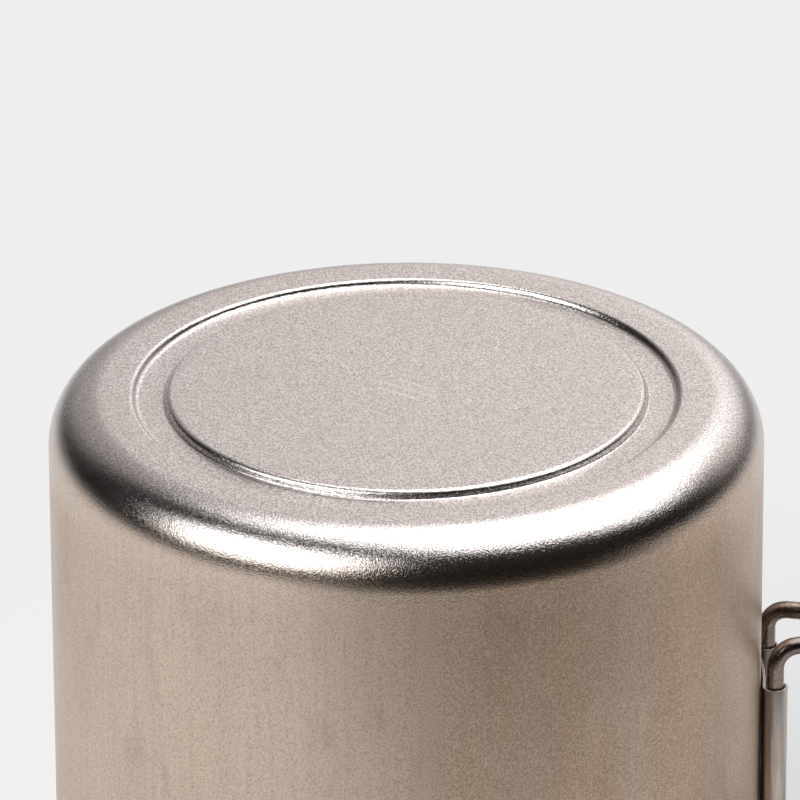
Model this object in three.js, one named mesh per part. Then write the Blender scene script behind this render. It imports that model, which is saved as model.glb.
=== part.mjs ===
// Camping cook pot set: a deep cooking pot stored upside down in its frying-pan lid.
// Both vessels are pressed from thin titanium sheet, and each carries a rolled bracket with two
// wire handles that fold round the wall on upright pins made by the wire's own ends.
// Units are millimetres, +Z up. The origin is the middle of the pan's underside, where the set
// stands, and the handles point along +X.
import * as THREE from "three";

// Driving dimensions
const SHEET = 0.5; // thickness of both vessels and both brackets
const POT_RADIUS = 60; // outside of the pot's wall
const POT_HEIGHT = 105; // base to mouth
const POT_EDGE_RADIUS = 9;
const POT_DISC_RADIUS = 38.7; // raised disc stamped in the base
const POT_WIRE = 3;
const POT_LEG_DEPTH = 46.6; // base down to the handle's upper leg
const POT_LOOP_HEIGHT = 44; // between the centrelines of the two legs
const PAN_RADIUS = 58; // outside of the pan's lower wall
const PAN_HEIGHT = 32;
const PAN_EDGE_RADIUS = 8;
const PAN_DISC_RADIUS = 33;
const PAN_WIRE = 2.5;
const PAN_LEG_HEIGHT = 4.5;
const PAN_LOOP_HEIGHT = 16;
const LEDGE_HEIGHT = 24; // middle of the sheet of the ledge that the pot's mouth sits on
const MOUTH_WALL_RADIUS = 63.3; // middle of the sheet of the pan's upper wall
const KNUCKLE_OFFSET = 7.95; // each knuckle's distance from the bracket's middle plane
const KNUCKLE_CLEARANCE = 0.15; // between the wire and the rolled knuckle
const BRACKET_GAP = 0.3; // between the bracket and the wall
const HANDLE_REACH = 56; // along the wall, from the knuckle to the loop's far end
const HANDLE_SLANT = 18; // degrees by which each opened handle leaves its knuckle inwards
const SEAT_GAP = 0.3; // between the pot's mouth and the ledge
const RING_DEPTH = 0.38; // outer ring of each base, below the disc
const GROOVE_DEPTH = 1.41; // floor of the groove, below the disc
const POT_CURL = 1.2; // middle radius of the rolled bead at the mouth
const PAN_CURL = 1;
const PAN_BEND = 1; // middle radius of the pan's two bends at the ledge
const ROLL_TURN = 295; // degrees that a knuckle is rolled through
const BEND_ROOM = 7; // most height between a leg and the bracket's end
const INSERT_SHARE = 0.42; // of the knuckle's height that each wire end fills

// How finely the round shapes are divided
const TURN_SEGMENTS = 48;
const WIRE_SIDES = 8;
const BEND_STEPS = 4;
const LEG_STEPS = 7;

const titanium = (color, roughness) =>
  new THREE.MeshStandardMaterial({ color, roughness, metalness: 1 });
const blasted = titanium(0xb3a89f, 0.42);
const formed = titanium(0xa89c92, 0.38);
const drawn = titanium(0x6d635c, 0.32);

const point = (x, y) => new THREE.Vector2(x, y);

// Points on an arc between two angles in degrees, both ends included.
function arc(centre, radius, from, to, steps) {
  return Array.from({ length: steps + 1 }, (_, i) => {
    const angle = THREE.MathUtils.degToRad(from + ((to - from) * i) / steps);
    return point(
      centre.x + radius * Math.cos(angle),
      centre.y + radius * Math.sin(angle),
    );
  });
}

// One side of a centreline, moved sideways by the given distance (positive to its left).
function sideOf(line, distance) {
  return line.map((p, i) => {
    const before = line[Math.max(i - 1, 0)];
    const after = line[Math.min(i + 1, line.length - 1)];
    const inward = point(p.x - before.x, p.y - before.y).normalize();
    const outward = point(after.x - p.x, after.y - p.y).normalize();
    const along = inward.clone().add(outward).normalize();
    const reference = i === 0 ? outward : inward;
    const stretch = 1 / Math.max(along.dot(reference), 0.5);
    return point(
      p.x - along.y * distance * stretch,
      p.y + along.x * distance * stretch,
    );
  });
}

// The closed section of a sheet that follows a centreline.
function sheetSection(line) {
  const left = sideOf(line, SHEET / 2);
  const right = sideOf(line, -SHEET / 2);
  return [...right, ...left.reverse()];
}

// The stamped base: a proud middle disc, a shallow ring groove and a slightly lower outer ring.
// Each point is a radius and a depth below the disc, from the axis to where the wall begins.
function stampedBase(wallRadius, edgeRadius, discRadius) {
  const groove = [
    [2, GROOVE_DEPTH],
    [5.8, GROOVE_DEPTH],
    [8.1, RING_DEPTH],
  ];
  const middle = wallRadius - SHEET / 2;
  const turn = edgeRadius - SHEET / 2;
  const edgeCentre = point(middle - turn, RING_DEPTH + turn);
  return [
    point(0, 0),
    point(discRadius, 0),
    ...groove.map(([out, depth]) => point(discRadius + out, depth)),
    ...arc(edgeCentre, turn, -90, 0, 4),
  ];
}

// Turns a sheet section round the axis. The section runs from the axis to the rim and back.
function turned(line) {
  const section = sheetSection(line);
  section[0].x = 0;
  section[section.length - 1].x = 0;
  return new THREE.LatheGeometry(section, TURN_SEGMENTS).rotateX(Math.PI / 2);
}

// Moves a centreline up, so that the sheet's underside is at height 0.
function raised(line, lift) {
  return line.map((p) => point(p.x, p.y + lift));
}

function potBody() {
  const base = stampedBase(POT_RADIUS, POT_EDGE_RADIUS, POT_DISC_RADIUS);
  const wall = POT_RADIUS - SHEET / 2;
  const curlCentre = point(wall + POT_CURL, POT_HEIGHT - POT_CURL - SHEET);
  const line = [
    ...base,
    ...arc(curlCentre, POT_CURL, 180, -90, 6),
  ];
  // Drawn mouth up, then turned over so that the base is on top.
  return turned(raised(line, SHEET / 2)).rotateX(Math.PI);
}

function panBody() {
  const base = stampedBase(PAN_RADIUS, PAN_EDGE_RADIUS, PAN_DISC_RADIUS);
  const wall = PAN_RADIUS - SHEET / 2;
  const ledge = LEDGE_HEIGHT - SHEET / 2;
  const lowerBend = point(wall + PAN_BEND, ledge - PAN_BEND);
  const upperBend = point(MOUTH_WALL_RADIUS - PAN_BEND, ledge + PAN_BEND);
  const curlCentre = point(
    MOUTH_WALL_RADIUS + PAN_CURL,
    PAN_HEIGHT - PAN_CURL - SHEET,
  );
  const line = [
    ...base,
    ...arc(lowerBend, PAN_BEND, 180, 90, 3),
    ...arc(upperBend, PAN_BEND, -90, 0, 3),
    ...arc(curlCentre, PAN_CURL, 180, -90, 6),
  ];
  return turned(raised(line, SHEET / 2));
}

// Radius from the vessel's axis to a knuckle's axis.
function knuckleRadius(wallRadius, wire) {
  return wallRadius + BRACKET_GAP + SHEET + KNUCKLE_CLEARANCE + wire / 2;
}

// Where a knuckle's axis stands: side is 1 on the +Y side and -1 on the -Y side.
function knuckleAxis(wallRadius, wire, side) {
  const reach = knuckleRadius(wallRadius, wire);
  return point(
    Math.sqrt(reach ** 2 - KNUCKLE_OFFSET ** 2),
    side * KNUCKLE_OFFSET,
  );
}

// A strip that hugs the wall, with both ends rolled outwards into open knuckles.
function bracket(wallRadius, wire, height) {
  const plateRadius = wallRadius + BRACKET_GAP + SHEET / 2;
  const rollRadius = wire / 2 + KNUCKLE_CLEARANCE + SHEET / 2;
  const end = knuckleAxis(wallRadius, wire, 1);
  const spread = THREE.MathUtils.radToDeg(Math.atan2(end.y, end.x));
  const half = [
    ...arc(point(0, 0), plateRadius, 0, spread, 4).slice(0, -1),
    ...arc(end, rollRadius, 180 + spread, 180 + spread - ROLL_TURN, 12),
  ];
  const mirrored = half
    .slice(1)
    .map((p) => point(p.x, -p.y))
    .reverse();
  const shape = new THREE.Shape(sheetSection([...mirrored, ...half]));
  return new THREE.ExtrudeGeometry(shape, {
    depth: height,
    bevelEnabled: false,
    steps: 1,
  });
}

// A curve through given points, one point to each step of the sweep.
class SteppedCurve extends THREE.Curve {
  constructor(points) {
    super();
    this.points = points;
  }
  getPoint(t, target = new THREE.Vector3()) {
    const place = t * (this.points.length - 1);
    const i = Math.min(Math.floor(place), this.points.length - 2);
    return target.lerpVectors(this.points[i], this.points[i + 1], place - i);
  }
  getPointAt(u, target) {
    return this.getPoint(u, target);
  }
  getTangentAt(u, target = new THREE.Vector3()) {
    const last = this.points.length - 1;
    const i = Math.round(u * last);
    const before = this.points[Math.max(i - 1, 0)];
    const after = this.points[Math.min(i + 1, last)];
    return target.subVectors(after, before).normalize();
  }
}

// The loop drawn flat: along the wall from the knuckle, and up from the lower leg.
// Both ends of the wire turn towards each other inside the knuckle.
function flatLoop(length, height, insert) {
  const bend = Math.min(3.6, height / 5);
  const corner = Math.min(9, height / 2.4);
  const between = (a, b, steps) =>
    Array.from({ length: steps - 1 }, (_, i) =>
      a.clone().lerp(b, (i + 1) / steps),
    );
  const lowerBend = arc(point(bend, bend), bend, 180, 270, BEND_STEPS);
  const lowerCorner = arc(
    point(length - corner, corner),
    corner,
    -90,
    0,
    BEND_STEPS,
  );
  const lower = [
    point(0, insert),
    ...lowerBend,
    ...between(lowerBend[BEND_STEPS], lowerCorner[0], LEG_STEPS),
    ...lowerCorner,
  ];
  const upper = lower.map((p) => point(p.x, height - p.y)).reverse();
  return [...lower, ...upper];
}

// A wire handle lying folded against the wall, on the side that side names.
function foldedHandle(wallRadius, wire, height, insert, side) {
  const reach = knuckleRadius(wallRadius, wire);
  const start = Math.asin(KNUCKLE_OFFSET / reach);
  const path = flatLoop(HANDLE_REACH, height, insert).map((p) => {
    const angle = side * (start + p.x / reach);
    return new THREE.Vector3(
      reach * Math.cos(angle),
      reach * Math.sin(angle),
      p.y,
    );
  });
  const section = new THREE.Shape().absarc(0, 0, wire / 2, 0, 2 * Math.PI);
  return new THREE.ExtrudeGeometry(section, {
    steps: path.length - 1,
    curveSegments: WIRE_SIDES / 2,
    extrudePath: new SteppedCurve(path),
  });
}

// Turn about the knuckle that swings a folded handle out to where it is held.
function openingTurn(wallRadius, wire, side) {
  const start = Math.asin(KNUCKLE_OFFSET / knuckleRadius(wallRadius, wire));
  const slant = THREE.MathUtils.degToRad(HANDLE_SLANT);
  return -side * (Math.PI / 2 + start + slant);
}

function named(name, geometry, material) {
  const mesh = new THREE.Mesh(geometry, material);
  mesh.name = name;
  return mesh;
}

// A bracket and its two opened handles, on a vessel whose lower leg stands at legHeight.
function handleSet(prefix, wallRadius, wire, legHeight, loopHeight) {
  const group = new THREE.Group();
  const bendRoom = Math.min(BEND_ROOM, loopHeight * 0.27);
  const knuckleHeight = loopHeight - 2 * bendRoom;
  const insert = bendRoom + knuckleHeight * INSERT_SHARE;
  const plate = named(
    prefix + "_handle_bracket",
    bracket(wallRadius, wire, knuckleHeight),
    formed,
  );
  plate.position.z = legHeight + bendRoom;
  group.add(plate);
  for (const [side, place] of [
    [1, "rear"],
    [-1, "front"],
  ]) {
    const axis = knuckleAxis(wallRadius, wire, side);
    const pivot = new THREE.Group();
    pivot.position.set(axis.x, axis.y, legHeight);
    pivot.rotation.z = openingTurn(wallRadius, wire, side);
    const handle = named(
      `${prefix}_handle_${place}`,
      foldedHandle(wallRadius, wire, loopHeight, insert, side),
      drawn,
    );
    handle.position.set(-axis.x, -axis.y, 0);
    pivot.add(handle);
    group.add(pivot);
  }
  return group;
}

const potTop = LEDGE_HEIGHT + SHEET / 2 + SEAT_GAP + POT_HEIGHT;

const set = new THREE.Group();
set.add(named("pan_body", panBody(), blasted));
set.add(
  handleSet("pan", PAN_RADIUS, PAN_WIRE, PAN_LEG_HEIGHT, PAN_LOOP_HEIGHT),
);

const pot = named("pot_body", potBody(), blasted);
pot.position.z = potTop;
set.add(pot);
set.add(
  handleSet(
    "pot",
    POT_RADIUS,
    POT_WIRE,
    potTop - POT_LEG_DEPTH - POT_LOOP_HEIGHT,
    POT_LOOP_HEIGHT,
  ),
);

export default set;
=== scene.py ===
"""Looks for the camping cook pot set: an upturned titanium pot standing in its frying-pan lid."""

import math

import bmesh
import bpy
from mathutils import Matrix, Vector


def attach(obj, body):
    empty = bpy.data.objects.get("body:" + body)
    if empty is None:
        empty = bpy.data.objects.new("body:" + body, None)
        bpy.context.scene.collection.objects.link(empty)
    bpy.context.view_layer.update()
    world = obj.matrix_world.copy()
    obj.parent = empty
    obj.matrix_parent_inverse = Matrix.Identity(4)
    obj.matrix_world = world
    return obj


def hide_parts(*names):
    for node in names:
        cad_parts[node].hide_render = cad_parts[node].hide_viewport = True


MM = 0.001

# Sizes in millimetres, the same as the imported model's
SHEET = 0.5
POT_RADIUS = 60.0
POT_HEIGHT = 105.0
POT_EDGE = 9.0
POT_DISC = 38.7
POT_CURL = 1.2
PAN_RADIUS = 58.0
PAN_HEIGHT = 32.0
PAN_EDGE = 8.0
PAN_DISC = 33.0
PAN_CURL = 1.0
PAN_BEND = 1.0
LEDGE_HEIGHT = 24.0
MOUTH_WALL_RADIUS = 63.3
SEAT_GAP = 0.3
POT_TOP = LEDGE_HEIGHT + SHEET / 2 + SEAT_GAP + POT_HEIGHT
RING_DEPTH = 0.38
GROOVE_DEPTH = 1.41
BRACKET_GAP = 0.3
KNUCKLE_OFFSET = 7.95
KNUCKLE_CLEARANCE = 0.15
ROLL_TURN = 295.0
POT_WIRE = 3.0
POT_LEG_DEPTH = 46.6
POT_LOOP_HEIGHT = 44.0
PAN_WIRE = 2.5
PAN_LEG_HEIGHT = 4.5
PAN_LOOP_HEIGHT = 16.0
HANDLE_REACH = 56.0
HANDLE_SLANT = 18.0
BEND_ROOM = 7.0  # most height between a leg and the bracket's end
BEND_ROOM_SHARE = 0.27  # of a low loop's height
LEG_BEND = 3.6
LEG_BEND_PART = 5.0  # a low loop's height divided by this is its bend instead
LOOP_CORNER = 9.0
LOOP_CORNER_PART = 2.4
INSERT_SHARE = 0.42  # of the knuckle's height that each wire end fills

# Shapes that only this script has: millimetres, or shares where the comment says so.
# The stamped corners are (distance outwards from the disc's edge, rounding), and they are
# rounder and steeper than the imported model's.
DISC_SHOULDER = (1.15, 0.75)
GROOVE_INSIDE = (1.66, 0.70)
GROOVE_OUTSIDE = (6.73, 1.35)
RING_SHOULDER = (7.33, 0.55)
STRIP_BEVEL = 0.11
SHARP_ANGLE = math.radians(50)
WIRE_CHAMFER = 0.12  # share of the wire's thickness

# How finely the round shapes are divided
TURN_SEGMENTS = 288
WIRE_SIDES = 20
ROUNDING_STEPS = 12
ROUNDING_STEPS_PER_MM = 5  # of a large rounding's radius
CURL_STEPS = 24
SHEET_STEPS_PER_MM = 0.5
WIRE_STEPS_PER_MM = 0.8

# One entry for each vessel: prefix, wall radius, wire, lower leg's height, loop height
POT_HANDLES = ("pot", POT_RADIUS, POT_WIRE, POT_TOP - POT_LEG_DEPTH - POT_LOOP_HEIGHT, POT_LOOP_HEIGHT)
PAN_HANDLES = ("pan", PAN_RADIUS, PAN_WIRE, PAN_LEG_HEIGHT, PAN_LOOP_HEIGHT)

# The generic mark on the base: its turn, and each bar's offset and half length
MARK_TURN = math.radians(-38.0)
MARK_BARS = ((2.3, 3.4), (0.0, 6.2), (-2.3, 4.4))

# Spot welds on each bracket: distance from its middle, share of its height in from each end,
# and the radii where a weld's dent is full and where it ends
WELD_ASIDE = 3.4
WELD_INSET = 0.24
WELD_RADII = (0.9, 1.5)

# Looks of the surfaces. Colours are linear red, green, blue and alpha.
PAINTED_SHADE_SIDE = (0.5, -0.87, 0.0)  # the side of each wall where a darker reflection is painted into the colour as shade
PAINTED_SHEEN_SIDE = (-0.56, -0.83, 0.0)  # the side where a paler reflection is painted into the colour
BLASTED_PIT = (0.44, 0.40, 0.385, 1)
BLASTED_GRAIN = (0.87, 0.825, 0.805, 1)
BLASTED_STAIN = (0.60, 0.53, 0.48, 1)
ETCHED = (0.86, 0.80, 0.76, 1)
SATIN = (0.63, 0.49, 0.39, 1)
# Painted shade: the darker reflection on one side of each wall, made uneven with random brown blotches.
SATIN_SHADE_AND_BLOTCH = (0.47, 0.335, 0.24, 1)
# Painted reflection: the paler side of each wall.
SATIN_PAINTED_SHEEN = (0.72, 0.59, 0.485, 1)
SATIN_WORN = (0.55, 0.49, 0.44, 1)
SATIN_LINE = (0.30, 0.24, 0.20, 1)
SATIN_GRAIN = (0.72, 0.585, 0.47, 1)
SATIN_PIT = (0.30, 0.225, 0.17, 1)
SATIN_SMUDGE = (0.34, 0.255, 0.20, 1)
STRIP = (0.56, 0.50, 0.455, 1)
STRIP_LINE = (0.43, 0.37, 0.325, 1)
WELD_TINT = (0.36, 0.29, 0.25, 1)
WIRE = (0.165, 0.132, 0.115, 1)
WIRE_WORN = (0.29, 0.235, 0.205, 1)
WIRE_FLECK = (0.12, 0.10, 0.09, 1)
PAPER = (0.665, 0.665, 0.67, 1)
PAPER_FIBRE = (0.68, 0.68, 0.685, 1)
PAPER_UNLIT = (0.03, 0.028, 0.022, 1)
BLASTED_ROUGHNESS = 0.185
SATIN_ROUGHNESS = (0.34, 0.44)
STRIP_ROUGHNESS = (0.28, 0.4)
WIRE_ROUGHNESS = (0.18, 0.32)
GRAIN_DEPTH = 0.2 * MM
WELD_DEPTH = 0.3 * MM
FINISH_FADE = (-7.0, 2.0)  # heights past the wall's end over which the finish changes
COLOUR_FADE = (0.0, 6.5)  # the same for the colour

# The photograph's camera: a long lens, a little to the left of square on to the handles' plane.
# Angles are in degrees, and lengths in millimetres.
CAMERA_AZIMUTH = -3.0
CAMERA_ELEVATION = 24.79
CAMERA_DISTANCE = 1500.0
CAMERA_ASIDE = -1.02
CAMERA_BELOW = -1.91
CAMERA_ROLL = -0.25
CAMERA_LENS = 403.4

# Soft lights that only reflections and diffuse surfaces see:
# name, direction to the middle, half width, half height, softness of the edge, strength
SOFTBOXES = (
    ("overhead", (0.30, 0.22, 0.93), 0.58, 0.56, 0.14, 3.0),
    ("front_left", (-0.62, -0.45, 0.56), 0.47, 0.30, 0.16, 4.2),
    ("far_right", (0.40, 0.85, 0.36), 0.20, 0.16, 0.14, 1.35),
)
ROOM = (0.016, 0.015, 0.015)
BACKDROP = (1.06, 1.0, 0.985)
# Where the backdrop fades, as the direction's x, y or z
BACKDROP_LEFT_EDGE = (-0.75, -0.30)
BACKDROP_LEFT_DIM = (-0.17, 0.17)
BACKDROP_FRONT_EDGE = (0.30, 0.80)
BACKDROP_HORIZON = (0.0, 0.30)
BACKDROP_BESIDE = (0.15, 0.52)
UNLIT_SIDE = (0.42, -0.91, 0.0)  # where the studio floor is dark in reflections
SEEN_BACKGROUND = (0.84, 0.845, 0.85, 1.0)
FLOOR_SIZE = 4.0  # metres
FLOOR_DROP = 0.2 * MM  # so that the floor and the pan's underside don't share a plane


# ---------------------------------------------------------------- outlines


def arc(centre, radius, start, end, steps):
    """Points on an arc between two angles in degrees, both ends included."""
    points = []
    for i in range(steps + 1):
        angle = math.radians(start + (end - start) * i / steps)
        x = centre[0] + radius * math.cos(angle)
        y = centre[1] + radius * math.sin(angle)
        points.append(Vector((x, y)))
    return points


def rounded(corners):
    """A polyline whose corners are rounded, large ones in more steps. Each corner is (x, y, radius)."""
    points = [Vector(corners[0][:2])]
    for before, corner, after in zip(corners, corners[1:], corners[2:]):
        here = Vector(corner[:2])
        back = (Vector(before[:2]) - here).normalized()
        ahead = (Vector(after[:2]) - here).normalized()
        half = back.angle(ahead) / 2
        reach = corner[2] / math.tan(half)
        middle = here + (back + ahead).normalized() * (corner[2] / math.sin(half))
        start = here + back * reach - middle
        end = here + ahead * reach - middle
        steps = max(ROUNDING_STEPS, round(corner[2] * ROUNDING_STEPS_PER_MM))
        for i in range(steps + 1):
            points.append(middle + start.slerp(end, i / steps) * corner[2])
    points.append(Vector(corners[-1][:2]))
    return points


def side_of(line, distance):
    """A polyline moved sideways, to its left where the distance is positive."""
    moved = []
    last = len(line) - 1
    for i, here in enumerate(line):
        along = (line[min(i + 1, last)] - line[max(i - 1, 0)]).normalized()
        moved.append(here + Vector((-along.y, along.x)) * distance)
    return moved


def sheet_section(line):
    """The closed outline of a sheet that follows a centreline."""
    return side_of(line, -SHEET / 2) + side_of(line, SHEET / 2)[::-1]


def stretched(points, steps_per_mm):
    """The same polyline with its long straights divided, so that the mesh is even."""
    dense = [points[0]]
    for start, end in zip(points, points[1:]):
        count = max(1, round((end - start).length * steps_per_mm))
        dense += [start.lerp(end, (i + 1) / count) for i in range(count)]
    return dense


def stamped_base(wall_radius, edge_radius, disc_radius):
    """Corners of a base's middle surface, mouth up: raised disc, groove, ring and edge."""
    middle = wall_radius - SHEET / 2
    return [
        (0, 0, 0),
        (disc_radius + DISC_SHOULDER[0], 0, DISC_SHOULDER[1]),
        (disc_radius + GROOVE_INSIDE[0], GROOVE_DEPTH, GROOVE_INSIDE[1]),
        (disc_radius + GROOVE_OUTSIDE[0], GROOVE_DEPTH, GROOVE_OUTSIDE[1]),
        (disc_radius + RING_SHOULDER[0], RING_DEPTH, RING_SHOULDER[1]),
        (middle, RING_DEPTH, edge_radius - SHEET / 2),
    ]


def pot_line():
    """The pot's middle surface from the axis to the bead, mouth up."""
    wall = POT_RADIUS - SHEET / 2
    curl_height = POT_HEIGHT - POT_CURL - SHEET
    base = stamped_base(POT_RADIUS, POT_EDGE, POT_DISC) + [(wall, curl_height, 0)]
    curl = arc((wall + POT_CURL, curl_height), POT_CURL, 180, -90, CURL_STEPS)
    return stretched(rounded(base)[:-1], SHEET_STEPS_PER_MM) + curl


def pan_line():
    """The pan's middle surface from the axis to the bead, with the ledge for the pot's mouth."""
    wall = PAN_RADIUS - SHEET / 2
    ledge = LEDGE_HEIGHT - SHEET / 2
    curl_height = PAN_HEIGHT - PAN_CURL - SHEET
    corners = stamped_base(PAN_RADIUS, PAN_EDGE, PAN_DISC) + [
        (wall, ledge, PAN_BEND),
        (MOUTH_WALL_RADIUS, ledge, PAN_BEND),
        (MOUTH_WALL_RADIUS, curl_height, 0),
    ]
    curl = arc((MOUTH_WALL_RADIUS + PAN_CURL, curl_height), PAN_CURL, 180, -90, CURL_STEPS)
    return stretched(rounded(corners)[:-1], SHEET_STEPS_PER_MM) + curl


# ---------------------------------------------------------------- meshes


def add_mesh(name, vertices, faces, material):
    """A closed, smooth piece from vertices in millimetres, facing outwards."""
    mesh = bpy.data.meshes.new(name)
    mesh.from_pydata([v * MM for v in vertices], [], faces)
    mesh.validate()
    clean = bmesh.new()
    clean.from_mesh(mesh)
    bmesh.ops.remove_doubles(clean, verts=clean.verts, dist=1e-7)
    bmesh.ops.recalc_face_normals(clean, faces=clean.faces)
    clean.to_mesh(mesh)
    clean.free()
    mesh.shade_smooth()
    piece = bpy.data.objects.new(name, mesh)
    bpy.context.scene.collection.objects.link(piece)
    mesh.materials.append(material)
    return piece


def turned(name, line, place, material):
    """A vessel turned from a sheet that follows a line from the axis to the rim.

    The line is raised by half the sheet, so that the sheet's underside starts at height 0."""
    section = sheet_section([Vector((p.x, p.y + SHEET / 2)) for p in line])
    section[0].x = 0
    section[-1].x = 0
    rows = len(section)
    vertices = []
    for turn in range(TURN_SEGMENTS):
        angle = 2 * math.pi * turn / TURN_SEGMENTS
        for p in section:
            vertices.append(place @ Vector((p.x * math.cos(angle), p.x * math.sin(angle), p.y)))
    faces = []
    for turn in range(TURN_SEGMENTS):
        here = turn * rows
        there = (turn + 1) % TURN_SEGMENTS * rows
        for i in range(rows - 1):
            faces.append((here + i, there + i, there + i + 1, here + i + 1))
    return add_mesh(name, vertices, faces, material)


def knuckle_radius(wall_radius, wire):
    """How far a wire that lies against the bracket is from the vessel's axis."""
    return wall_radius + BRACKET_GAP + SHEET + KNUCKLE_CLEARANCE + wire / 2


def knuckle_axis(wall_radius, wire, side):
    """Where a knuckle's upright axis is, seen from above."""
    reach = knuckle_radius(wall_radius, wire)
    return Vector((math.sqrt(reach**2 - KNUCKLE_OFFSET**2), side * KNUCKLE_OFFSET))


def bend_room(loop_height):
    """Height between a leg's middle and the bracket's end."""
    return min(BEND_ROOM, loop_height * BEND_ROOM_SHARE)


def bracket(prefix, wall_radius, wire, leg_height, loop_height, material):
    """A strip that hugs the wall, with both ends rolled outwards into open knuckles."""
    plate = wall_radius + BRACKET_GAP + SHEET / 2
    roll = wire / 2 + KNUCKLE_CLEARANCE + SHEET / 2
    end = knuckle_axis(wall_radius, wire, 1)
    spread = math.degrees(math.atan2(end.y, end.x))
    half = arc((0, 0), plate, 0, spread, 12)[:-1]
    half += arc(end, roll, 180 + spread, 180 + spread - ROLL_TURN, 32)
    mirrored = [Vector((p.x, -p.y)) for p in half[1:]][::-1]
    section = sheet_section(mirrored + half)
    low = leg_height + bend_room(loop_height)
    high = leg_height + loop_height - bend_room(loop_height)
    count = len(section)
    vertices = [Vector((p.x, p.y, z)) for z in (low, high) for p in section]
    faces = [(i, (i + 1) % count, count + (i + 1) % count, count + i) for i in range(count)]
    across = count // 2
    for base in (0, count):
        for i in range(across - 1):
            faces.append((base + i, base + i + 1, base + count - 2 - i, base + count - 1 - i))
    piece = add_mesh(f"{prefix}_bracket_strip", vertices, faces, material)
    soften_edges(piece, STRIP_BEVEL)
    return piece


def soften_edges(piece, width):
    """Bevels the sheared edges of a strip and leaves its curved faces alone."""
    mesh = bmesh.new()
    mesh.from_mesh(piece.data)
    sharp = [e for e in mesh.edges if e.is_manifold and e.calc_face_angle() > SHARP_ANGLE]
    bmesh.ops.bevel(mesh, geom=sharp, offset=width * MM, segments=2, affect="EDGES", profile=0.6)
    mesh.to_mesh(piece.data)
    mesh.free()
    piece.data.shade_smooth()


def flat_loop(length, height, insert):
    """The wire's centreline drawn flat, along the wall and up. Both ends turn into the knuckle."""
    bend = min(LEG_BEND, height / LEG_BEND_PART)
    corner = min(LOOP_CORNER, height / LOOP_CORNER_PART)
    lower = [Vector((0, insert))]
    lower += arc((bend, bend), bend, 180, 270, 12)
    lower += arc((length - corner, corner), corner, -90, 0, 14)
    lower = stretched(lower, WIRE_STEPS_PER_MM)
    return lower + [Vector((p.x, height - p.y)) for p in lower[::-1]]


def handle_path(wall_radius, wire, leg_height, loop_height, side):
    """The centreline of an opened handle."""
    reach = knuckle_radius(wall_radius, wire)
    start = math.asin(KNUCKLE_OFFSET / reach)
    axis = knuckle_axis(wall_radius, wire, side)
    opened = Matrix.Rotation(-side * (math.pi / 2 + start + math.radians(HANDLE_SLANT)), 3, "Z")
    pin = Vector((axis.x, axis.y, 0))
    room = bend_room(loop_height)
    insert = room + (loop_height - 2 * room) * INSERT_SHARE
    path = []
    for p in flat_loop(HANDLE_REACH, loop_height, insert):
        angle = side * (start + p.x / reach)
        folded = Vector((reach * math.cos(angle), reach * math.sin(angle), p.y))
        path.append(pin + opened @ (folded - pin) + Vector((0, 0, leg_height)))
    return path


def swept_wire(name, path, wire, material):
    """A round wire along a path, with a small chamfer at each end."""
    radius = wire / 2
    chamfer = wire * WIRE_CHAMFER
    first = (path[1] - path[0]).normalized()
    final = (path[-1] - path[-2]).normalized()
    rings = [path[0], path[0] + first * chamfer] + path[1:-1] + [path[-1] - final * chamfer, path[-1]]
    sizes = [radius - chamfer] + [radius] * (len(rings) - 2) + [radius - chamfer]
    across = first.orthogonal().normalized()
    vertices = []
    for i, middle in enumerate(rings):
        along = (rings[min(i + 1, len(rings) - 1)] - rings[max(i - 1, 0)]).normalized()
        across = (across - along * across.dot(along)).normalized()
        other = along.cross(across)
        for k in range(WIRE_SIDES):
            angle = 2 * math.pi * k / WIRE_SIDES
            vertices.append(middle + (across * math.cos(angle) + other * math.sin(angle)) * sizes[i])
    faces = []
    for i in range(len(rings) - 1):
        for k in range(WIRE_SIDES):
            after = (k + 1) % WIRE_SIDES
            low = i * WIRE_SIDES
            faces.append((low + k, low + after, low + WIRE_SIDES + after, low + WIRE_SIDES + k))
    faces.append(tuple(range(WIRE_SIDES)))
    faces.append(tuple((len(rings) - 1) * WIRE_SIDES + k for k in range(WIRE_SIDES)))
    return add_mesh(name, vertices, faces, material)


# ---------------------------------------------------------------- node helpers


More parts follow.
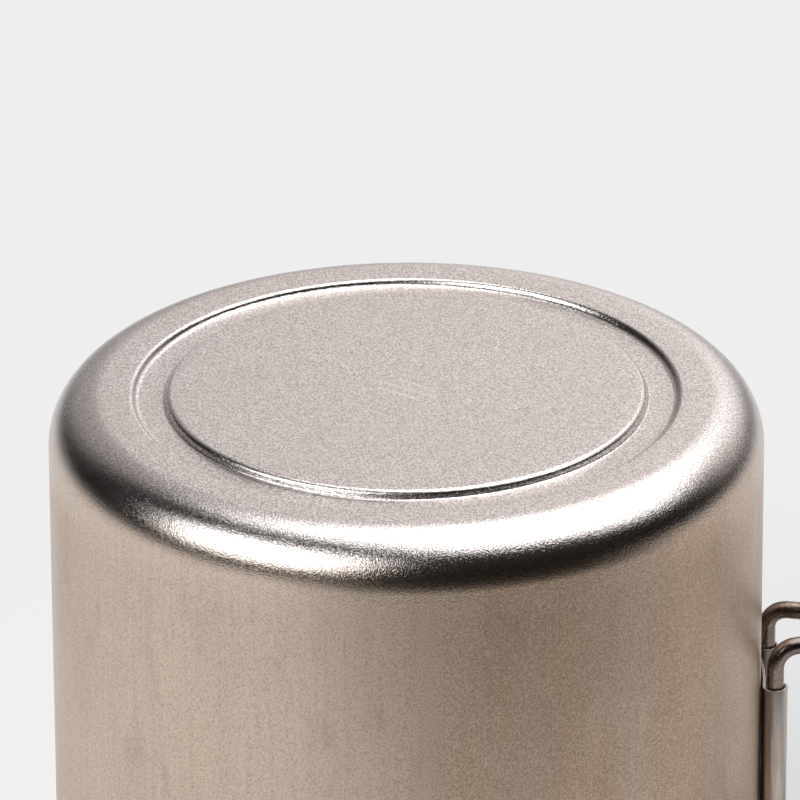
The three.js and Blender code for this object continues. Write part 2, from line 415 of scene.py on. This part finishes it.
class Graph:
    """Short calls for building a node tree."""

    def __init__(self, tree):
        self.tree = tree
        self.tree.nodes.clear()

    def node(self, kind, **settings):
        made = self.tree.nodes.new(kind)
        for key, value in settings.items():
            setattr(made, key, value)
        return made

    def feed(self, value, socket):
        if isinstance(value, bpy.types.NodeSocket):
            self.tree.links.new(value, socket)
        else:
            socket.default_value = value

    def math(self, operation, *values):
        made = self.node("ShaderNodeMath", operation=operation)
        for value, socket in zip(values, made.inputs):
            self.feed(value, socket)
        return made.outputs[0]

    def vector(self, operation, *values):
        made = self.node("ShaderNodeVectorMath", operation=operation)
        for value, socket in zip(values, made.inputs):
            self.feed(value, socket)
        return made.outputs["Value" if operation in ("DOT_PRODUCT", "LENGTH") else "Vector"]

    def upright(self, place, share):
        """A place whose height counts for less, so that a texture on it runs up the wall."""
        return self.vector("MULTIPLY", place, (1.0, 1.0, share))

    def ramp(self, value, low, high, start=0.0, end=1.0):
        made = self.node("ShaderNodeMapRange", interpolation_type="SMOOTHSTEP")
        self.feed(value, made.inputs["Value"])
        made.inputs["From Min"].default_value = low
        made.inputs["From Max"].default_value = high
        made.inputs["To Min"].default_value = start
        made.inputs["To Max"].default_value = end
        return made.outputs["Result"]

    def mix(self, amount, a, b):
        made = self.node("ShaderNodeMix", data_type="RGBA")
        self.feed(amount, made.inputs["Factor"])
        self.feed(a, made.inputs["A"])
        self.feed(b, made.inputs["B"])
        return made.outputs["Result"]

    def noise(self, place, scale, detail, roughness):
        made = self.node("ShaderNodeTexNoise")
        self.feed(place, made.inputs["Vector"])
        made.inputs["Scale"].default_value = scale
        made.inputs["Detail"].default_value = detail
        made.inputs["Roughness"].default_value = roughness
        return made.outputs["Fac"]

    def bump(self, height, strength, distance, normal=None):
        made = self.node("ShaderNodeBump")
        made.inputs["Strength"].default_value = strength
        made.inputs["Distance"].default_value = distance
        self.feed(height, made.inputs["Height"])
        if normal:
            self.feed(normal, made.inputs["Normal"])
        return made.outputs["Normal"]

    def place(self):
        return self.node("ShaderNodeTexCoord").outputs["Object"]

    def split(self, place):
        made = self.node("ShaderNodeSeparateXYZ")
        self.feed(place, made.inputs[0])
        return made.outputs

    def join(self, x, y, z):
        made = self.node("ShaderNodeCombineXYZ")
        for value, socket in zip((x, y, z), made.inputs):
            self.feed(value, socket)
        return made.outputs[0]


def surface(name):
    """A new material, and its graph and surface shader."""
    material = bpy.data.materials.new(name)
    material.use_nodes = True
    graph = Graph(material.node_tree)
    shader = graph.node("ShaderNodeBsdfPrincipled")
    output = graph.node("ShaderNodeOutputMaterial")
    graph.tree.links.new(shader.outputs[0], output.inputs["Surface"])
    return material, graph, shader


def metal(name):
    """A new material whose surface is a bare metal, and its graph and shader."""
    material, graph, shader = surface(name)
    shader.inputs["Metallic"].default_value = 1.0
    return material, graph, shader


def round_place(graph, place):
    """Where a point lies round the axis: (distance along the wall, 0, height)."""
    x, y, z = graph.split(place)[:3]
    angle = graph.math("ARCTAN2", y, x)
    return graph.join(graph.math("MULTIPLY", angle, POT_RADIUS * MM), 0.0, z)


# ---------------------------------------------------------------- materials


def etched_mark(graph, place):
    """Where the three etched bars in the middle of the upturned pot's base are, from 0 to 1."""
    along = graph.vector("DOT_PRODUCT", place, (math.cos(MARK_TURN), math.sin(MARK_TURN), 0.0))
    across = graph.vector("DOT_PRODUCT", place, (-math.sin(MARK_TURN), math.cos(MARK_TURN), 0.0))
    reach = graph.math("ABSOLUTE", along)
    mark = 0.0
    for offset, half_length in MARK_BARS:
        ends = graph.ramp(reach, (half_length - 0.2) * MM, half_length * MM, 1.0, 0.0)
        aside = graph.math("ABSOLUTE", graph.math("SUBTRACT", across, offset * MM))
        sides = graph.ramp(aside, 0.2 * MM, 0.5 * MM, 1.0, 0.0)
        mark = graph.math("MAXIMUM", mark, graph.math("MULTIPLY", ends, sides))
    on_top = graph.math("GREATER_THAN", graph.split(place)[2], (POT_TOP - 1.0) * MM)
    return graph.math("MULTIPLY", mark, on_top)


def blasted_colour(graph, place, speckle):
    """Pale sand-blasted titanium with darker pits, faint stains and the etched mark."""
    cloud = graph.noise(place, 38.0, 4.0, 0.6)
    colour = graph.mix(speckle, BLASTED_PIT, BLASTED_GRAIN)
    colour = graph.mix(graph.ramp(cloud, 0.3, 0.75, 0.0, 0.25), colour, BLASTED_STAIN)
    return graph.mix(graph.math("MULTIPLY", etched_mark(graph, place), 0.55), colour, ETCHED)


def satin_colour(graph, place, around, speckle, drawn, blotch):
    """Satin titanium with a painted darker reflection on one side, mixed with random brown blotches, a
    painted paler reflection on the other side, and wear, drawing lines, grain and smudges.
    """
    heading = graph.vector("NORMALIZE", graph.vector("MULTIPLY", place, (1.0, 1.0, 0.0)))
    uneven = graph.math("MULTIPLY", graph.math("SUBTRACT", blotch, 0.5), 1.9)
    # How far the wall faces the side where a darker reflection is painted, plus random brown blotches.
    shade_and_blotch = graph.math("ADD", graph.vector("DOT_PRODUCT", heading, PAINTED_SHADE_SIDE), uneven)
    # How far the wall faces the side where a paler reflection is painted into the colour.
    clean = graph.vector("DOT_PRODUCT", heading, PAINTED_SHEEN_SIDE)
    broad = graph.noise(graph.upright(around, 0.16), 95.0, 3.0, 0.6)
    smudge = graph.noise(graph.upright(around, 0.5), 130.0, 5.0, 0.7)
    colour = SATIN
    for amount, other in (
        (graph.ramp(shade_and_blotch, 0.10, 1.05), SATIN_SHADE_AND_BLOTCH),
        (graph.ramp(clean, 0.70, 1.0), SATIN_PAINTED_SHEEN),
        (graph.ramp(broad, 0.40, 0.7, 0.0, 0.25), SATIN_WORN),
        (graph.ramp(drawn, 0.4, 0.7, 0.0, 0.16), SATIN_LINE),
        (graph.ramp(speckle, 0.45, 1.0, 0.0, 0.55), SATIN_GRAIN),
        (graph.ramp(speckle, 0.0, 0.4, 0.5, 0.0), SATIN_PIT),
        (graph.ramp(smudge, 0.54, 0.72, 0.0, 0.36), SATIN_SMUDGE),
    ):
        colour = graph.mix(amount, colour, other)
    return colour


def vessel_metal(name, edge_height, upward):
    """Titanium with a sand-blasted base and a satin, faintly drawn wall.

    The base lies above the given height where upward is 1, and below it where upward is -1.
    The finish changes nearer the wall than the colour does, so that neither shows as a line."""
    material, graph, shader = metal(name)
    place = graph.place()
    z = graph.split(place)[2]
    past_edge = graph.math("MULTIPLY", graph.math("SUBTRACT", z, edge_height * MM), upward)
    blasted = graph.ramp(past_edge, FINISH_FADE[0] * MM, FINISH_FADE[1] * MM)
    pale = graph.ramp(past_edge, COLOUR_FADE[0] * MM, COLOUR_FADE[1] * MM)
    satin = graph.math("SUBTRACT", 1.0, blasted)

    grain = graph.noise(place, 3000.0, 2.0, 0.7)
    fine = graph.noise(place, 5600.0, 1.0, 0.5)
    grit = graph.math("ADD", graph.math("MULTIPLY", grain, 0.6), graph.math("MULTIPLY", fine, 0.4))
    speckle = graph.ramp(grit, 0.40, 0.60)
    around = round_place(graph, place)
    drawn = graph.noise(graph.upright(around, 0.045), 900.0, 4.0, 0.65)
    blotch = graph.noise(graph.upright(around, 0.55), 42.0, 4.0, 0.62)

    wall_colour = satin_colour(graph, place, around, speckle, drawn, blotch)
    base_colour = blasted_colour(graph, place, speckle)
    graph.feed(graph.mix(pale, wall_colour, base_colour), shader.inputs["Base Color"])

    base_roughness = graph.math("MULTIPLY", blasted, BLASTED_ROUGHNESS)
    wall_roughness = graph.math("MULTIPLY", satin, graph.ramp(blotch, 0.3, 0.7, *SATIN_ROUGHNESS))
    graph.feed(graph.math("ADD", base_roughness, wall_roughness), shader.inputs["Roughness"])

    pits = graph.math("MULTIPLY", grit, graph.ramp(blasted, 0.0, 0.7, 0.4, 1.0))
    lines = graph.math("MULTIPLY", drawn, satin)
    normal = graph.bump(pits, 0.38, GRAIN_DEPTH)
    normal = graph.bump(lines, 0.05, GRAIN_DEPTH, normal)
    graph.feed(normal, shader.inputs["Normal"])
    return material


def weld_spots(graph, place, low, high):
    """Where the four spot welds of a strip between two heights are, from 0 to 1."""
    _, y, z = graph.split(place)[:3]
    inset = (high - low) * WELD_INSET
    welds = 0.0
    for aside in (-WELD_ASIDE, WELD_ASIDE):
        for height in (low + inset, high - inset):
            across = graph.math("SUBTRACT", y, aside * MM)
            upward = graph.math("SUBTRACT", z, height * MM)
            away = graph.vector("LENGTH", graph.join(across, upward, 0.0))
            spot = graph.ramp(away, WELD_RADII[0] * MM, WELD_RADII[1] * MM, 1.0, 0.0)
            welds = graph.math("MAXIMUM", welds, spot)
    return welds


def strip_metal(name, low, high):
    """Satin strip titanium with four spot welds that have a faint heat tint."""
    material, graph, shader = metal(name)
    place = graph.place()
    drawn = graph.noise(graph.upright(place, 0.06), 1500.0, 3.0, 0.6)
    grain = graph.noise(place, 2600.0, 2.0, 0.6)
    welds = weld_spots(graph, place, low, high)
    colour = graph.mix(graph.ramp(drawn, 0.35, 0.7), STRIP, STRIP_LINE)
    colour = graph.mix(graph.math("MULTIPLY", welds, 0.5), colour, WELD_TINT)
    graph.feed(colour, shader.inputs["Base Color"])
    graph.feed(graph.ramp(grain, 0.3, 0.7, *STRIP_ROUGHNESS), shader.inputs["Roughness"])
    normal = graph.bump(grain, 0.15, GRAIN_DEPTH)
    dents = graph.math("MULTIPLY", welds, -1.0)
    graph.feed(graph.bump(dents, 0.8, WELD_DEPTH, normal), shader.inputs["Normal"])
    return material


def wire_metal():
    """Dark bare wire with worn, lighter patches and small dark flecks."""
    material, graph, shader = metal("bare_wire")
    place = graph.place()
    stain = graph.noise(place, 160.0, 4.0, 0.65)
    fleck = graph.noise(place, 1900.0, 3.0, 0.6)
    colour = graph.mix(graph.ramp(stain, 0.35, 0.7), WIRE, WIRE_WORN)
    colour = graph.mix(graph.ramp(fleck, 0.45, 0.72, 0.0, 0.35), colour, WIRE_FLECK)
    graph.feed(colour, shader.inputs["Base Color"])
    graph.feed(graph.ramp(fleck, 0.3, 0.7, *WIRE_ROUGHNESS), shader.inputs["Roughness"])
    graph.feed(graph.bump(fleck, 0.22, GRAIN_DEPTH), shader.inputs["Normal"])
    return material


def floor_paper():
    """Pale paper that reflections see as dark on one side and far away, as in a dim studio."""
    material, graph, shader = surface("studio_paper")
    place = graph.place()
    fibre = graph.noise(place, 14.0, 5.0, 0.6)
    paper = graph.mix(fibre, PAPER, PAPER_FIBRE)
    away = graph.vector("LENGTH", place)
    heading = graph.vector("DOT_PRODUCT", graph.vector("NORMALIZE", place), UNLIT_SIDE)
    near_edge = graph.math("MULTIPLY", graph.ramp(away, 0.20, 0.46), graph.ramp(heading, 0.35, 0.85))
    unlit = graph.math("MAXIMUM", near_edge, graph.ramp(away, 0.5, 1.7, 0.0, 0.85))
    mirrored = graph.node("ShaderNodeLightPath").outputs["Is Glossy Ray"]
    unlit = graph.math("MULTIPLY", unlit, mirrored)
    graph.feed(graph.mix(unlit, paper, PAPER_UNLIT), shader.inputs["Base Color"])
    shader.inputs["Roughness"].default_value = 0.85
    shader.inputs["Specular IOR Level"].default_value = 0.1
    return material


# ---------------------------------------------------------------- the set


def build_pot():
    """The pot, turned over onto its mouth."""
    turn_over = Matrix.Translation((0, 0, POT_TOP)) @ Matrix.Rotation(math.pi, 4, "X")
    titanium = vessel_metal("pot_titanium", POT_TOP - POT_EDGE, 1.0)
    pot = turned("pot_vessel", pot_line(), turn_over, titanium)
    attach(pot, "pot")
    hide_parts("pot_body")


def build_pan():
    """The frying-pan lid that the pot stands in."""
    titanium = vessel_metal("pan_titanium", PAN_EDGE, -1.0)
    pan = turned("pan_vessel", pan_line(), Matrix.Identity(4), titanium)
    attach(pan, "pan")
    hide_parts("pan_body")


def build_handles(sizes, wire_material):
    """A vessel's bracket and its two opened handles."""
    prefix, wall_radius, wire, leg_height, loop_height = sizes
    room = bend_room(loop_height)
    low = leg_height + room
    high = leg_height + loop_height - room
    strip_material = strip_metal(f"{prefix}_strip", low, high)
    strip = bracket(prefix, wall_radius, wire, leg_height, loop_height, strip_material)
    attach(strip, prefix)
    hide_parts(f"{prefix}_handle_bracket")
    for side, place in ((1, "rear"), (-1, "front")):
        path = handle_path(wall_radius, wire, leg_height, loop_height, side)
        handle = swept_wire(f"{prefix}_{place}_wire", path, wire, wire_material)
        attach(handle, f"{prefix}_{place}_handle")
        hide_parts(f"{prefix}_handle_{place}")


def build_floor():
    """A pale sheet of paper under the set."""
    mesh = bpy.data.meshes.new("studio_floor")
    shape = bmesh.new()
    bmesh.ops.create_grid(shape, x_segments=24, y_segments=24, size=FLOOR_SIZE)
    shape.to_mesh(mesh)
    shape.free()
    floor = bpy.data.objects.new("studio_floor", mesh)
    floor.location.z = -FLOOR_DROP
    bpy.context.scene.collection.objects.link(floor)
    mesh.materials.append(floor_paper())


# ---------------------------------------------------------------- light and camera


def softbox_mask(graph, direction, middle, half_width, half_height, soft):
    """How far a direction falls inside a rectangular light, from 0 to 1."""
    forward = Vector(middle).normalized()
    across = forward.cross(Vector((0, 0, 1))).normalized()
    upward = across.cross(forward)
    depth = graph.vector("DOT_PRODUCT", direction, forward)
    safe = graph.math("MAXIMUM", depth, 0.05)
    mask = graph.ramp(depth, 0.05, 0.25)
    for axis, half in ((across, half_width), (upward, half_height)):
        reach = graph.vector("DOT_PRODUCT", direction, axis)
        along = graph.math("ABSOLUTE", graph.math("DIVIDE", reach, safe))
        mask = graph.math("MULTIPLY", mask, graph.ramp(along, half - soft / 2, half + soft / 2, 1.0, 0.0))
    return mask


def build_world():
    """A studio that reflections see, behind a plain pale background that the camera sees."""
    world = bpy.data.worlds.new("studio")
    bpy.context.scene.world = world
    world.use_nodes = True
    graph = Graph(world.node_tree)
    direction = graph.node("ShaderNodeTexCoord").outputs["Generated"]
    x, y, z = graph.split(direction)[:3]
    backdrop = graph.ramp(y, *BACKDROP_FRONT_EDGE)
    backdrop = graph.math("MULTIPLY", backdrop, graph.ramp(x, *BACKDROP_LEFT_EDGE))
    backdrop = graph.math("MULTIPLY", backdrop, graph.ramp(x, *BACKDROP_LEFT_DIM, 0.40, 1.0))
    beside = graph.ramp(graph.math("ABSOLUTE", x), *BACKDROP_BESIDE)
    low = graph.math("MULTIPLY", beside, graph.ramp(z, *BACKDROP_HORIZON, 0.94, 0.0))
    backdrop = graph.math("MULTIPLY", backdrop, graph.math("SUBTRACT", 1.0, low))
    light = graph.mix(backdrop, (*ROOM, 1), (*BACKDROP, 1))
    for _, middle, half_width, half_height, soft, strength in SOFTBOXES:
        mask = softbox_mask(graph, direction, middle, half_width, half_height, soft)
        light = graph.mix(mask, light, (strength, strength, strength, 1))
    seen = graph.node("ShaderNodeLightPath").outputs["Is Camera Ray"]
    shader = graph.node("ShaderNodeBackground")
    graph.feed(graph.mix(seen, light, SEEN_BACKGROUND), shader.inputs["Color"])
    output = graph.node("ShaderNodeOutputWorld")
    graph.tree.links.new(shader.outputs[0], output.inputs["Surface"])


def build_camera():
    """A long lens aimed near the middle of the pot's base."""
    azimuth = math.radians(CAMERA_AZIMUTH)
    elevation = math.radians(CAMERA_ELEVATION)
    back = Vector(
        (
            math.sin(azimuth) * math.cos(elevation),
            -math.cos(azimuth) * math.cos(elevation),
            math.sin(elevation),
        )
    )
    turn = back.to_track_quat("Z", "Y") @ Matrix.Rotation(math.radians(CAMERA_ROLL), 3, "Z").to_quaternion()
    across = turn @ Vector((1, 0, 0))
    upward = turn @ Vector((0, 1, 0))
    aim = Vector((0, 0, POT_TOP)) + across * CAMERA_ASIDE + upward * CAMERA_BELOW
    data = bpy.data.cameras.new("camera")
    data.lens = CAMERA_LENS
    data.sensor_width = 36.0
    data.clip_end = 60.0
    camera = bpy.data.objects.new("camera", data)
    camera.rotation_mode = "QUATERNION"
    camera.rotation_quaternion = turn
    camera.location = (aim + back * CAMERA_DISTANCE) * MM
    bpy.context.scene.collection.objects.link(camera)
    bpy.context.scene.camera = camera


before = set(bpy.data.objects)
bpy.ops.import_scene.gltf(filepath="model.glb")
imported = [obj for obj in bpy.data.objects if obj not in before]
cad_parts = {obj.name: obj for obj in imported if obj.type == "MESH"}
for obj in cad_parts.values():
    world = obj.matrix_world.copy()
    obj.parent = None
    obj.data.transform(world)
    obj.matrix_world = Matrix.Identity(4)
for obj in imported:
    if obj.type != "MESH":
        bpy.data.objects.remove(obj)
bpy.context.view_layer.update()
bare_wire = wire_metal()
build_pot()
build_pan()
build_handles(POT_HANDLES, bare_wire)
build_handles(PAN_HANDLES, bare_wire)
build_floor()
build_world()
build_camera()
bpy.context.scene.view_settings.view_transform = "Standard"
